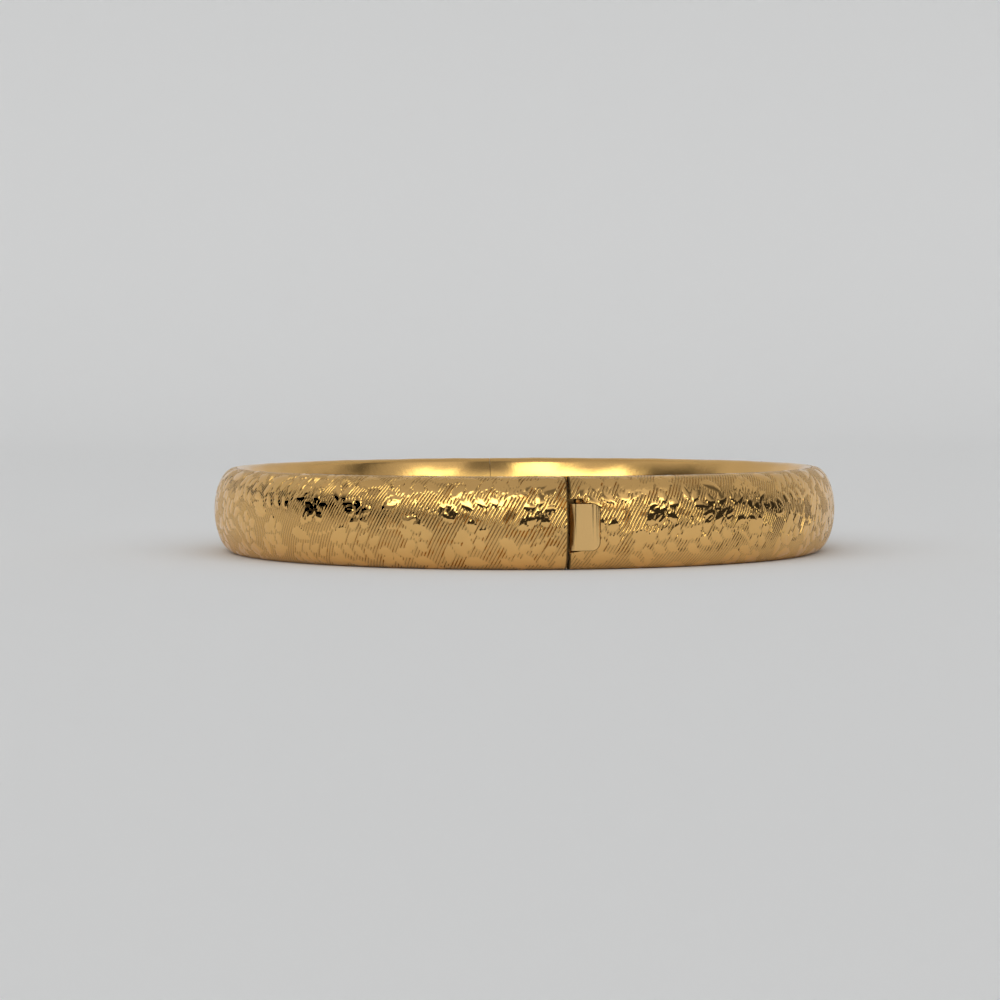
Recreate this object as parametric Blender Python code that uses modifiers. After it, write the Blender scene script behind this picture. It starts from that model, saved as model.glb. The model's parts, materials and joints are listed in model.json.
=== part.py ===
"""Hinged oval bangle bracelet: two hollow engraved halves, a riveted hinge and a tongue clasp.

The bangle lies flat. +Z is up, the hinge is at +Y and the clasp at -Y, so the two halves
are the left one (-X), which carries the tongue, and the right one (+X), which receives it.
"""
import bmesh
import bpy
from math import asin, cos, degrees, pi, radians, sin
from mathutils import Matrix, Vector

MM = 0.001

# The oval, measured on the smooth inner face that lies against the wrist
INNER_HALF_WIDTH = 27.0 * MM
INNER_HALF_LENGTH = 29.75 * MM
BAND_THICKNESS = 3.5 * MM
BAND_HEIGHT = 8.2 * MM
MID_HEIGHT = BAND_HEIGHT / 2
STATIONS = 32                      # stretches along one half of the oval
END_STRETCH = radians(0.6)         # short first stretch, so that the ends are square

# The hollow section: a domed outer sheet and a shallow inner channel
SHEET = 0.45 * MM
SEAM = 0.05 * MM                   # the soldered seam between two pieces that touch
LINER_ARC = 10.8 * MM              # the liner's face is slightly rounded, for comfort
LINER_CORNER = 0.6 * MM
LINER_EDGE = 1.3 * MM              # the liner's flat edges end here
EDGE_FLAT_END = 1.5 * MM           # the shell's flat edges end and its dome begins here
DOME_STEPS = 12
CORNER_STEPS = 3
ARC_STEPS = 4

# The parting line at the clasp and at the hinge, and the plates that close the ends
PARTING_GAP = 0.12 * MM
PLATE = 0.5 * MM
PLATE_MIDDLE = PARTING_GAP / 2 + PLATE / 2

# The hinge
KNUCKLES = 5
KNUCKLE_RADIUS = 0.8 * MM
KNUCKLE_BORE_RADIUS = 0.4 * MM
KNUCKLE_GAP = 0.08 * MM
BARREL_HEIGHT = 6.2 * MM
KNUCKLE_HEIGHT = (BARREL_HEIGHT - (KNUCKLES - 1) * KNUCKLE_GAP) / KNUCKLES
PIN_RADIUS = 0.35 * MM
PIN_HEAD_RADIUS = 0.55 * MM
PIN_HEAD_HEIGHT = 0.2 * MM
PIN_DEPTH = BAND_THICKNESS - KNUCKLE_RADIUS      # from the inner face out to the pin
PIN_Y = INNER_HALF_LENGTH + PIN_DEPTH
BARREL_ROOM = 0.15 * MM
BARREL_POCKET_FLOOR = PIN_DEPTH - KNUCKLE_RADIUS - 2 * SEAM
BARREL_POCKET_HEIGHT = BARREL_HEIGHT + 2 * (PIN_HEAD_HEIGHT + SEAM + BARREL_ROOM)
ROUND_SIDES = 24

# The tongue, a springy strip doubled back on itself; depths are from the inner face outwards
LEAF = 0.3 * MM
TONGUE_DEPTH = 0.92 * MM
TONGUE_HALF_WIDTH = 1.8 * MM
TONGUE_ROOT = -1.6 * MM
FOLD_REACH = 7.6 * MM
FOLD_INNER_RADIUS = 0.05 * MM
FOLD_RADIUS = FOLD_INNER_RADIUS + LEAF
FOLD_DEPTH = TONGUE_DEPTH + FOLD_RADIUS
UPPER_LEAF_DEPTH = FOLD_DEPTH + FOLD_INNER_RADIUS
LEAF_LIFT = 0.5 * MM               # how far the free end of the upper leaf springs out
LEAF_END = 0.75 * MM
SPRING_HALF_WIDTH = 2.1 * MM

# The catch plate, with its slot for the tongue and the lips that hold the upper leaf
SLOT_LOW = 0.82 * MM
LIP_LOW = 1.72 * MM
LIP_HIGH = 2.15 * MM
SLOT_HALF_WIDTH = 2.25 * MM
NECK_SLOT_HALF_WIDTH = 1.0 * MM
RECEIVER_HALF_WIDTH = 2.45 * MM
RECEIVER_SHEET = 0.2 * MM
RECEIVER_LENGTH = 8.5 * MM
RECEIVER_HIGH = 2.15 * MM

# The thumb tab, a little below the middle, and the notch it sits in
TAB_START = 0.12 * MM
TAB_END = 2.7 * MM
TAB_HALF_HEIGHT = 2.05 * MM
TAB_DROP = 0.3 * MM
TAB_LOW = 2.75 * MM
TAB_HIGH = 3.42 * MM
TAB_CORNER = 0.7 * MM
TAB_BEVEL = 0.1 * MM
TAB_ROOM = 0.1 * MM
NAIL_ROOM = 0.45 * MM              # the notch is taller beside the parting line
NAIL_ROOM_END = 1.3 * MM
TAB_TILT = radians(3.0)
NECK_START = 1.0 * MM
NECK_END = 2.2 * MM
NECK_HALF_WIDTH = 0.8 * MM

BEYOND = 3.0 * MM                  # how far a cutter runs past what it cuts

COLOURS = {
    "engraved_gold": ((0.60, 0.38, 0.14), 0.34),
    "liner_gold": ((0.66, 0.42, 0.15), 0.22),
    "tab_gold": ((0.68, 0.45, 0.18), 0.28),
    "plate_gold": ((0.58, 0.37, 0.14), 0.35),
    "hinge_gold": ((0.56, 0.36, 0.14), 0.32),
    "spring_gold": ((0.62, 0.42, 0.19), 0.30),
}


def gold(name):
    """The named gold finish, made once and shared."""
    material = bpy.data.materials.get(name)
    if material is None:
        colour, roughness = COLOURS[name]
        material = bpy.data.materials.new(name)
        material.use_nodes = True
        shader = material.node_tree.nodes["Principled BSDF"]
        shader.inputs["Base Color"].default_value = (*colour, 1.0)
        shader.inputs["Metallic"].default_value = 1.0
        shader.inputs["Roughness"].default_value = roughness
    return material


def clear_scene():
    for obj in list(bpy.data.objects):
        bpy.data.objects.remove(obj, do_unlink=True)


def new_collection(name):
    collection = bpy.data.collections.new(name)
    bpy.context.scene.collection.children.link(collection)
    return collection


def finish(obj, finish_name):
    """Give a piece its material and smooth its round faces."""
    obj.data.materials.clear()
    obj.data.materials.append(gold(finish_name))
    obj.data.shade_smooth()
    obj.data.set_sharp_from_angle(angle=radians(35))
    return obj


def curve_to_mesh(curve_object, name, collection):
    """Turn a curve into a welded mesh object in the same place."""
    depsgraph = bpy.context.evaluated_depsgraph_get()
    mesh = bpy.data.meshes.new_from_object(curve_object.evaluated_get(depsgraph))
    obj = bpy.data.objects.new(name, mesh)
    obj.matrix_world = curve_object.matrix_world
    collection.objects.link(obj)
    curve = curve_object.data
    bpy.data.objects.remove(curve_object)
    bpy.data.curves.remove(curve)
    weld(mesh)
    return obj


def weld(mesh):
    shape = bmesh.new()
    shape.from_mesh(mesh)
    bmesh.ops.remove_doubles(shape, verts=shape.verts, dist=0.001 * MM)
    bmesh.ops.recalc_face_normals(shape, faces=shape.faces)
    shape.to_mesh(mesh)
    shape.free()


def poly_curve(name, points, cyclic=False):
    """A curve object with one straight-sided spline through the points."""
    curve = bpy.data.curves.new(name, "CURVE")
    curve.dimensions = "3D" if len(points[0]) == 3 else "2D"
    spline = curve.splines.new("POLY")
    spline.points.add(len(points) - 1)
    for spot, point in zip(spline.points, points):
        spot.co = (*point, 1.0) if len(point) == 3 else (*point, 0.0, 1.0)
    spline.use_cyclic_u = cyclic
    obj = bpy.data.objects.new(name, curve)
    bpy.context.scene.collection.objects.link(obj)
    return obj


# ---- The oval and its section ----

def oval_point(turn):
    """A point of the inner face, turn radians clockwise from the hinge."""
    return Vector((INNER_HALF_WIDTH * sin(turn), INNER_HALF_LENGTH * cos(turn), MID_HEIGHT))


def half_turns():
    """The turns of one half, from just past the hinge to just short of the clasp."""
    first = asin(PARTING_GAP / 2 / INNER_HALF_WIDTH)
    last = pi - first
    inner = [first + END_STRETCH + (last - first - 2 * END_STRETCH) * i / STATIONS
             for i in range(STATIONS + 1)]
    return [first] + inner + [last]


def dome_profile(inset=0.0):
    """The outer sheet's outline as (depth, height from the middle), bottom to top."""
    rise = BAND_THICKNESS - EDGE_FLAT_END
    half = BAND_HEIGHT / 2
    points = []
    for step in range(DOME_STEPS + 1):
        angle = -pi / 2 + pi * step / DOME_STEPS
        normal = Vector((cos(angle) / rise, sin(angle) / half)).normalized()
        spot = Vector((EDGE_FLAT_END + rise * cos(angle), half * sin(angle)))
        points.append(tuple(spot - normal * inset))
    return points


def liner_profile(inset=0.0):
    """The inner channel's outline as (depth, height from the middle), top to bottom.

    The arc of its face runs tangentially into the round corners.
    """
    corner_height = BAND_HEIGHT / 2 - LINER_CORNER
    lean = asin(corner_height / (LINER_ARC - LINER_CORNER))
    corner_depth = LINER_ARC - (LINER_ARC - LINER_CORNER) * cos(lean)
    top = []
    for step in range(CORNER_STEPS + 1):
        angle = pi / 2 + (pi / 2 - lean) * step / CORNER_STEPS
        radius = LINER_CORNER - inset
        top.append((corner_depth + radius * cos(angle), corner_height + radius * sin(angle)))
    for step in range(1, ARC_STEPS):
        top.append(arc_point(lean * (1 - step / ARC_STEPS), inset))
    return top + [(inset, 0.0)] + [(depth, -height) for depth, height in reversed(top)]


def arc_point(angle, inset):
    """A point of the liner's rounded face, set in by the inset, as (depth, height)."""
    radius = LINER_ARC - inset
    return (LINER_ARC - radius * cos(angle), radius * sin(angle))


def edged(profile, edge):
    """The profile with a flat edge at each end, out to the depth given."""
    return [(edge, profile[0][1])] + profile + [(edge, profile[-1][1])]


def swept_sheet(name, profile, turns, sheet, finish_name, collection):
    """A sheet whose face follows the profile along the oval, thickened into the band."""
    path = poly_curve(name + "_path", [tuple(oval_point(t)) for t in turns])
    path.data.twist_mode = "Z_UP"
    # A bevel outline's +X lies on the inner side of a clockwise path
    outline = poly_curve(name + "_outline", [(-depth, height) for depth, height in profile])
    path.data.bevel_mode = "OBJECT"
    path.data.bevel_object = outline
    piece = curve_to_mesh(path, name, collection)
    face_away_from_section(piece.data)
    outline_curve = outline.data
    bpy.data.objects.remove(outline)
    bpy.data.curves.remove(outline_curve)
    solidify = piece.modifiers.new("sheet", "SOLIDIFY")
    solidify.thickness = sheet
    solidify.offset = -1.0
    solidify.use_even_offset = True
    solidify.use_quality_normals = True
    return finish(piece, finish_name)


def face_away_from_section(mesh):
    """Point an open sheet's faces away from the middle of the hollow band."""
    middle_depth = BAND_THICKNESS / 2
    score = 0.0
    for face in mesh.polygons:
        centre = face.center
        turn_x, turn_y = centre.x / INNER_HALF_WIDTH, centre.y / INNER_HALF_LENGTH
        outward = Vector((turn_x / INNER_HALF_WIDTH, turn_y / INNER_HALF_LENGTH, 0)).normalized()
        turn_length = (turn_x ** 2 + turn_y ** 2) ** 0.5
        inner = Vector((centre.x / turn_length, centre.y / turn_length, MID_HEIGHT))
        score += face.area * face.normal.dot(centre - inner - outward * middle_depth)
    if score < 0:
        mesh.flip_normals()


# ---- Shapes shared by several pieces ----

def box(name, low, high, collection):
    """A box between two corners."""
    bpy.ops.mesh.primitive_cube_add(size=1.0)
    obj = bpy.context.object
    obj.name = name
    size = Vector(high) - Vector(low)
    obj.data.transform(Matrix.Diagonal((*size, 1.0)))
    obj.location = (Vector(high) + Vector(low)) / 2
    move_to(obj, collection)
    return obj


def move_to(obj, collection):
    for owner in list(obj.users_collection):
        owner.objects.unlink(obj)
    collection.objects.link(obj)


def cutter_box(name, low, high, cutters):
    """A box that only cuts other pieces."""
    obj = box(name, low, high, cutters)
    obj.hide_render = True
    obj.display_type = "WIRE"
    return obj


def combine(piece, tool, operation="DIFFERENCE"):
    boolean = piece.modifiers.new(tool.name, "BOOLEAN")
    boolean.operation = operation
    boolean.object = tool
    return piece


def clasp_box(x_low, x_high, depth_low, depth_high, half_height):
    """Corners of a box at the clasp, from depths measured from the inner face."""
    low = (x_low, -INNER_HALF_LENGTH - depth_high, MID_HEIGHT - half_height)
    high = (x_high, -INNER_HALF_LENGTH - depth_low, MID_HEIGHT + half_height)
    return low, high


def hinge_box(x_low, x_high, depth_low, depth_high, half_height):
    """Corners of a box at the hinge, from depths measured from the inner face."""
    low = (x_low, INNER_HALF_LENGTH + depth_low, MID_HEIGHT - half_height)
    high = (x_high, INNER_HALF_LENGTH + depth_high, MID_HEIGHT + half_height)
    return low, high


def extruded_outline(name, points, half_thickness, matrix, collection):
    """A flat outline given thickness, as a mesh placed by the matrix."""
    curve_object = poly_curve(name + "_outline", points, cyclic=True)
    curve_object.data.fill_mode = "BOTH"
    curve_object.data.extrude = half_thickness
    curve_object.matrix_world = matrix
    bpy.context.view_layer.update()
    return curve_to_mesh(curve_object, name, collection)


def end_plate(name, side, at_hinge, collection):
    """The D-shaped plate that closes one end of one half, inside its sheets."""
    inset = SHEET + SEAM
    outline = dome_profile(inset) + liner_profile(inset)
    end = 1.0 if at_hinge else -1.0
    matrix = Matrix((
        (0.0, 0.0, end, side * PLATE_MIDDLE),
        (end, 0.0, 0.0, end * INNER_HALF_LENGTH),
        (0.0, 1.0, 0.0, MID_HEIGHT),
        (0.0, 0.0, 0.0, 1.0),
    ))
    return extruded_outline(name, outline, PLATE / 2, matrix, collection)


# ---- The two halves ----

def make_sheets(parts, cutters):
    """Both halves' outer shells and inner liners."""
    shell_profile = edged(dome_profile(), LINER_EDGE + SEAM)
    channel_profile = edged(liner_profile(), LINER_EDGE)
    right_turns = half_turns()
    left_turns = [turn + pi for turn in right_turns]
    shells = []
    for side, turns in (("right", right_turns), ("left", left_turns)):
        shells.append(swept_sheet("outer_shell_" + side, shell_profile, turns,
                                  SHEET, "engraved_gold", parts))
        swept_sheet("inner_liner_" + side, channel_profile, turns,
                    SHEET, "liner_gold", parts)

    room = KNUCKLE_RADIUS + BARREL_ROOM
    pocket = cutter_box("barrel_pocket", *hinge_box(
        -room, room, BARREL_POCKET_FLOOR, BAND_THICKNESS + BEYOND,
        BARREL_POCKET_HEIGHT / 2), cutters)
    for shell in shells:
        combine(shell, pocket)
    tab_notch = cutter_box("tab_notch", *clasp_box(
        -BEYOND, TAB_END + TAB_ROOM, LIP_HIGH, BAND_THICKNESS + BEYOND,
        TAB_HALF_HEIGHT + TAB_ROOM), cutters)
    tab_notch.location.z -= TAB_DROP
    nail_notch = cutter_box("nail_notch", *clasp_box(
        -BEYOND, NAIL_ROOM_END, LIP_HIGH, BAND_THICKNESS + BEYOND,
        TAB_HALF_HEIGHT), cutters)
    nail_notch.location.z -= TAB_DROP - NAIL_ROOM
    for notch in (tab_notch, nail_notch):
        combine(shells[0], notch)
    return pocket, (tab_notch, nail_notch)


def make_hinge(parts, cutters, pocket):
    """End plates, knuckles and the riveted pin."""
    for side_name, side in (("right", 1.0), ("left", -1.0)):
        plate = end_plate("hinge_end_plate_" + side_name, side, True, parts)
        finish(combine(plate, pocket), "plate_gold")

    bpy.ops.mesh.primitive_cylinder_add(vertices=ROUND_SIDES, radius=KNUCKLE_BORE_RADIUS,
                                        depth=BAND_HEIGHT * 2,
                                        location=(0.0, PIN_Y, MID_HEIGHT))
    bore = bpy.context.object
    bore.name = "knuckle_bore"
    bore.hide_render = True
    bore.display_type = "WIRE"
    move_to(bore, cutters)

    for index in range(KNUCKLES):
        side = -1.0 if index % 2 == 0 else 1.0
        height = (MID_HEIGHT + BARREL_HEIGHT / 2 - KNUCKLE_HEIGHT / 2
                  - index * (KNUCKLE_HEIGHT + KNUCKLE_GAP))
        make_knuckle(index + 1, side, height, bore, parts, cutters)
    make_pin(parts)


def make_knuckle(number, side, height, bore, parts, cutters):
    """One tube of the barrel, with the foot that joins it to its own end plate."""
    bpy.ops.mesh.primitive_cylinder_add(vertices=ROUND_SIDES, radius=KNUCKLE_RADIUS,
                                        depth=KNUCKLE_HEIGHT, location=(0.0, PIN_Y, height))
    knuckle = bpy.context.object
    knuckle.name = "hinge_knuckle_%d" % number
    move_to(knuckle, parts)
    near, far = PARTING_GAP / 2 + SEAM, PARTING_GAP / 2 + PLATE
    low, high = hinge_box(min(side * near, side * far), max(side * near, side * far),
                          BARREL_POCKET_FLOOR + SEAM, PIN_DEPTH, KNUCKLE_HEIGHT / 2)
    foot = cutter_box("knuckle_foot_%d" % number, low, high, cutters)
    foot.location.z = height
    combine(knuckle, foot, "UNION")
    combine(knuckle, bore)
    finish(knuckle, "hinge_gold")


def make_pin(parts):
    """The hinge pin, turned, with a peened head at each end."""
    head_base = BARREL_HEIGHT / 2 + SEAM
    head_top = head_base + PIN_HEAD_HEIGHT
    half_profile = [
        (0.0, head_top),
        (PIN_HEAD_RADIUS * 0.6, head_top - 0.15 * PIN_HEAD_HEIGHT),
        (PIN_HEAD_RADIUS, head_base + 0.35 * PIN_HEAD_HEIGHT),
        (PIN_HEAD_RADIUS, head_base),
        (PIN_RADIUS, head_base),
    ]
    profile = half_profile + [(radius, -height) for radius, height in reversed(half_profile)]
    mesh = bpy.data.meshes.new("hinge_pin")
    points = [(radius, 0.0, height) for radius, height in profile]
    edges = [(i, i + 1) for i in range(len(points) - 1)]
    mesh.from_pydata(points, edges, [])
    pin = bpy.data.objects.new("hinge_pin", mesh)
    pin.location = (0.0, PIN_Y, MID_HEIGHT)
    parts.objects.link(pin)
    turn = pin.modifiers.new("turn", "SCREW")
    turn.steps = ROUND_SIDES
    turn.render_steps = ROUND_SIDES
    turn.use_merge_vertices = True
    turn.merge_threshold = 0.00001
    pin.data.materials.append(gold("hinge_gold"))


# ---- The clasp ----

def closing_point(reach, depth):
    """A point of the tongue, which follows the arc that the clasp swings on.

    reach runs along the arc from the parting line into the right half, and depth is
    measured from the inner face outwards.
    """
    radius = PIN_Y + INNER_HALF_LENGTH + depth
    swing = reach / (PIN_Y + INNER_HALF_LENGTH + TONGUE_DEPTH)
    return (radius * sin(swing), PIN_Y - radius * cos(swing))


def make_end_plates(parts, cutters, notches):
    """The left half's end plate and the slotted catch plate of the right half."""
    left = end_plate("clasp_end_plate", -1.0, False, parts)
    root_slot = cutter_box("tongue_root_slot", *clasp_box(
        -PARTING_GAP / 2 - PLATE - BEYOND, BEYOND, TONGUE_DEPTH - SEAM,
        TONGUE_DEPTH + LEAF + 2 * SEAM, TONGUE_HALF_WIDTH + SEAM), cutters)
    finish(combine(left, root_slot), "plate_gold")

    right = end_plate("catch_plate", 1.0, False, parts)
    tongue_slot = cutter_box("tongue_slot", *clasp_box(
        -BEYOND, BEYOND, SLOT_LOW, LIP_LOW, SLOT_HALF_WIDTH), cutters)
    neck_slot = cutter_box("neck_slot", *clasp_box(
        -BEYOND, BEYOND, LIP_LOW - SEAM, LIP_HIGH + SEAM, NECK_SLOT_HALF_WIDTH), cutters)
    for tool in (tongue_slot, neck_slot, *notches):
        combine(right, tool)
    finish(right, "plate_gold")


def make_receiver(parts):
    """The channel behind the catch plate that the tongue slides into."""
    half = RECEIVER_HALF_WIDTH
    inset = SHEET + SEAM
    spread = asin(half / (LINER_ARC - inset))
    floor = [arc_point(spread * share, inset) for share in (1.0, 0.5, 0.0, -0.5, -1.0)]
    profile = [(RECEIVER_HIGH, half)] + floor + [(RECEIVER_HIGH, -half)]
    start = PARTING_GAP / 2 + PLATE + SEAM
    first = pi - asin((start + RECEIVER_LENGTH) / INNER_HALF_WIDTH)
    last = pi - asin(start / INNER_HALF_WIDTH)
    steps = 6
    turns = [first + (last - END_STRETCH / 2 - first) * i / steps for i in range(steps + 1)]
    swept_sheet("receiver_channel", profile, turns + [last], RECEIVER_SHEET,
                "plate_gold", parts)


def make_tongue(parts):
    """The fixed leaf of the tongue, with the fold at its tip, and the sprung leaf."""
    steps = 8
    along = [TONGUE_ROOT + (FOLD_REACH - TONGUE_ROOT) * i / steps for i in range(steps + 1)]
    fold_steps = 8
    angles = [-pi / 2 + pi * i / fold_steps for i in range(1, fold_steps + 1)]
    outline = [closing_point(reach, TONGUE_DEPTH) for reach in along]
    outline += [closing_point(FOLD_REACH + FOLD_RADIUS * cos(a), FOLD_DEPTH + FOLD_RADIUS * sin(a))
                for a in angles]
    outline += [closing_point(FOLD_REACH + FOLD_INNER_RADIUS * cos(a),
                              FOLD_DEPTH + FOLD_INNER_RADIUS * sin(a))
                for a in reversed(angles)]
    outline += [closing_point(reach, TONGUE_DEPTH + LEAF) for reach in reversed(along)]
    flat = Matrix.Translation((0.0, 0.0, MID_HEIGHT))
    fixed = extruded_outline("tongue_leaf", outline, TONGUE_HALF_WIDTH, flat, parts)
    finish(fixed, "spring_gold")

    root = FOLD_REACH - 2 * SEAM
    ends = [(root, UPPER_LEAF_DEPTH), (LEAF_END, UPPER_LEAF_DEPTH + LEAF_LIFT)]
    outline = [closing_point(*end) for end in ends]
    outline += [closing_point(reach, depth + LEAF) for reach, depth in reversed(ends)]
    pivot = Vector((*closing_point(FOLD_REACH, UPPER_LEAF_DEPTH + LEAF / 2), MID_HEIGHT))
    outline = [(x - pivot.x, y - pivot.y) for x, y in outline]
    sprung = extruded_outline("spring_leaf", outline, SPRING_HALF_WIDTH,
                              Matrix.Translation(pivot), parts)
    finish(sprung, "spring_gold")
    print("tab_press axis through (%.5f, %.5f), travel %.2f degrees" % (
        pivot.x, pivot.y, degrees(asin(LEAF_LIFT / (root - LEAF_END)))))


def tab_outline():
    """The tab's face as (x, height), square at the parting line and round at its far corners."""
    points = [(TAB_START, -TAB_HALF_HEIGHT)]
    for sign, first in ((-1.0, -pi / 2), (1.0, 0.0)):
        centre_x = TAB_END - TAB_CORNER
        centre_z = sign * (TAB_HALF_HEIGHT - TAB_CORNER)
        for step in range(6):
            angle = first + pi / 2 * step / 5
            points.append((centre_x + TAB_CORNER * cos(angle),
                           centre_z + TAB_CORNER * sin(angle)))
    return points + [(TAB_START, TAB_HALF_HEIGHT)]


def make_tab(parts, cutters):
    """The thumb tab: a bevelled plate on a short neck that is soldered to the sprung leaf."""
    middle = (TAB_LOW + TAB_HIGH) / 2
    upright = Matrix((
        (1.0, 0.0, 0.0, 0.0),
        (0.0, 0.0, -1.0, -INNER_HALF_LENGTH - middle),
        (0.0, 1.0, 0.0, MID_HEIGHT - TAB_DROP),
        (0.0, 0.0, 0.0, 1.0),
    ))
    tilt = Matrix.Rotation(TAB_TILT, 4, "Z")
    tab = extruded_outline("thumb_tab", tab_outline(), (TAB_HIGH - TAB_LOW) / 2,
                           upright, parts)
    anchor = Matrix.Translation((0.0, -INNER_HALF_LENGTH - middle, 0.0))
    tab.matrix_world = anchor @ tilt @ anchor.inverted() @ tab.matrix_world
    bevel = tab.modifiers.new("edges", "BEVEL")
    bevel.width = TAB_BEVEL
    bevel.segments = 2
    bevel.angle_limit = radians(40)
    neck = cutter_box("tab_neck", *clasp_box(
        NECK_START, NECK_END, LIP_HIGH, TAB_LOW + 2 * SEAM, NECK_HALF_WIDTH), cutters)
    combine(tab, neck, "UNION")
    finish(tab, "tab_gold")


def main():
    clear_scene()
    parts = new_collection("hinged_bangle")
    cutters = new_collection("cutters")
    pocket, notches = make_sheets(parts, cutters)
    make_hinge(parts, cutters, pocket)
    make_end_plates(parts, cutters, notches)
    make_receiver(parts)
    make_tongue(parts)
    make_tab(parts, cutters)
    print("hinge axis at y = %.5f" % PIN_Y)


main()
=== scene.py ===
# %% [markdown]
# # A hinged oval bangle, engraved on the outside
# The bangle is two hollow halves of gold-filled sheet. Each half is a domed outer shell, engraved
# all over, and a smooth liner against the wrist. They turn on a riveted hinge at +Y and close at
# -Y with a sprung tongue, whose thumb tab sits in a notch of the right half.
#
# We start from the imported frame. It fixes where everything is, so every size below is either read
# from it or is a thickness that the frame can't show.

# %% Load the frame
import json
from math import asin, cos, pi, radians, sin, tan

import bmesh
import bpy
import numpy as np
from mathutils import Matrix, Vector


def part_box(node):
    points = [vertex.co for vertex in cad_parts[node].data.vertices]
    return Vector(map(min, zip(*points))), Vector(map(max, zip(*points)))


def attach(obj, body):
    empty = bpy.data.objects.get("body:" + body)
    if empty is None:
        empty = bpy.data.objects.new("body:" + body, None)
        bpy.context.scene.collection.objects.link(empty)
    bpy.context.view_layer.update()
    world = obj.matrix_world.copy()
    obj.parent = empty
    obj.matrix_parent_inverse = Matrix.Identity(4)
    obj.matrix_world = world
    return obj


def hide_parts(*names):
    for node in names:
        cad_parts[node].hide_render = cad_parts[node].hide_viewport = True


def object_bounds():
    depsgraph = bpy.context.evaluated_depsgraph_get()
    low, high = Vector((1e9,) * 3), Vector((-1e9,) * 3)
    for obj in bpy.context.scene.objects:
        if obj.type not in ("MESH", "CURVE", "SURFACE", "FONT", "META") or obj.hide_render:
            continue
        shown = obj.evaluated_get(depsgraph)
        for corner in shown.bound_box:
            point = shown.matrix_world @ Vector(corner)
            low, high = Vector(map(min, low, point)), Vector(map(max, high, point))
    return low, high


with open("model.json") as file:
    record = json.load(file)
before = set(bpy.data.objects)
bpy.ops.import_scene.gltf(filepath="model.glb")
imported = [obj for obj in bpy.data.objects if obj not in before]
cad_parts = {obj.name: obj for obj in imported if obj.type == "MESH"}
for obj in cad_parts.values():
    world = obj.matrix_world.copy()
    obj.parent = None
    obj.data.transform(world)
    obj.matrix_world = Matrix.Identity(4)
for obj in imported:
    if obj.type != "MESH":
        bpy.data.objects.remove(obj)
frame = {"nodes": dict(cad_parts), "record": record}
cad_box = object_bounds()
print("frame box, mm:", [[round(v * 1000, 2) for v in corner] for corner in cad_box])

# %% [markdown]
# ## Shared sizes
# The sheet's thickness and the depth of the domed section belong to both halves. They could be
# typed wherever they are needed, but named once they stay the same everywhere. The oval's two
# half-sizes follow from the frame's outer box, and half the gap between the closed halves is
# where the right liner starts.

# %% Sizes that the whole bangle shares
MM = 0.001
THICKNESS = 3.5 * MM               # inner face to the crest of the dome
SHEET = 0.45 * MM
SEAM = 0.05 * MM                   # the solder between two pieces that touch
BAND_HEIGHT = cad_box[1].z
MID_HEIGHT = BAND_HEIGHT / 2
INNER_HALF_WIDTH = cad_box[1].x - THICKNESS
INNER_HALF_LENGTH = cad_box[1].y - THICKNESS
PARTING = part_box("inner_liner_right")[0].x     # half the gap at the parting line
print("inside, mm: %.1f x %.1f" % (2000 * INNER_HALF_WIDTH, 2000 * INNER_HALF_LENGTH))

# %% [markdown]
# ## Node trees without the noise
# Blender's node trees are verbose to build from Python. Two small helpers are enough: one adds a
# node and sets or links its inputs, and one does the same for arithmetic.

# %% Node helpers
def add_node(tree, kind, inputs=None, **settings):
    """Add a node, set its properties, and set or link its inputs by name or number."""
    node = tree.nodes.new(kind)
    for name, value in settings.items():
        setattr(node, name, value)
    for key, value in (inputs or {}).items():
        if isinstance(value, bpy.types.NodeSocket):
            tree.links.new(value, node.inputs[key])
        else:
            node.inputs[key].default_value = value
    return node


def calc(tree, operation, *values):
    """One arithmetic node."""
    return add_node(tree, "ShaderNodeMath", dict(enumerate(values)),
                    operation=operation).outputs[0]


def ramp(tree, value, low, high, to_low=0.0, to_high=1.0):
    """A smooth step from low to high."""
    node = add_node(tree, "ShaderNodeMapRange", {
        "Value": value, "From Min": low, "From Max": high, "To Min": to_low, "To Max": to_high,
    }, interpolation_type="SMOOTHSTEP")
    return node.outputs["Result"]


# %% [markdown]
# ## Gold, in six finishes
# Nearly all the metal is one gold, but a bright-cut surface, a worn liner and a satin tab scatter
# light differently. The tab's gold is paler, a painted highlight that makes it brighter, and the
# plates inside the gap are darkened, as painted shade in the gap and the notch. One function makes
# every finish: a metallic colour that drifts a little, roughness that varies with wear, and a fine
# bump for the tool marks. Patterns use Object coordinates, so they stay put when the bangle opens.

# %% The gold finish
GOLD = (0.95, 0.575, 0.205)
# Paler gold for the tab: a painted highlight that makes it read brighter than the rest
PAINTED_LIT_GOLD = (1.0, 0.64, 0.26)
DRIFT_SCALE = 170.0                # patches of colour, a few millimetres across
WEAR_SCALE = 520.0                 # rubbed spots, about two millimetres across
DARKER_PATCHES = 0.93


def set_mix_colours(node, first, second):
    """Set both colours of a colour Mix node."""
    colours = [socket for socket in node.inputs if socket.type == "RGBA"]
    for socket, value in zip(colours, (first, second)):
        socket.default_value = (*value, 1.0)


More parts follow.
